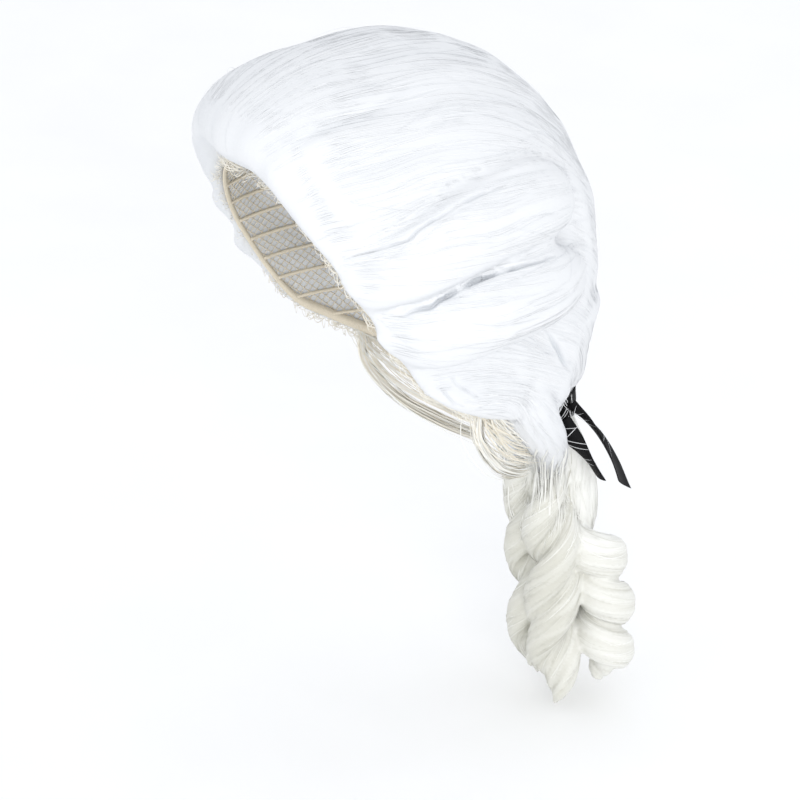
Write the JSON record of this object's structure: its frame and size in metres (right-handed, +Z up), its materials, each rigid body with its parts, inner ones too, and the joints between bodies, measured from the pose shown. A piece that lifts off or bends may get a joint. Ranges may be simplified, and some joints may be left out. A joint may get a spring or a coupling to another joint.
{
  "type": "baroque wig",
  "caption": "White baroque tie wig: hair combed back from a rolled front on a net cap, rolled side curls and a ribbon-tied tail of ringlets.",
  "frame": {"origin": "inside top of the cap, where it sits on the top of a head", "axes": "+Z up through the top of the head, -Y towards the face, +X towards the wearer's left"},
  "size_m": [0.2156, 0.2517, 0.42],
  "materials": {
    "hair": "combed synthetic hair with a soft sheen",
    "net": "matt knotted net",
    "satin": "black satin ribbon"
  },
  "bodies": {
    "root": {"cap": "net", "crown_hair": "hair", "side_roll_upper_left": "hair", "side_roll_upper_right": "hair", "side_roll_lower_left": "hair", "side_roll_lower_right": "hair", "nape_lock_left": "hair", "nape_lock_right": "hair", "ponytail": "hair", "ribbon_band": "satin", "ribbon_knot": "satin", "ribbon_tail_upper": "satin", "ribbon_tail_lower": "satin"}
  },
  "joints": []
}
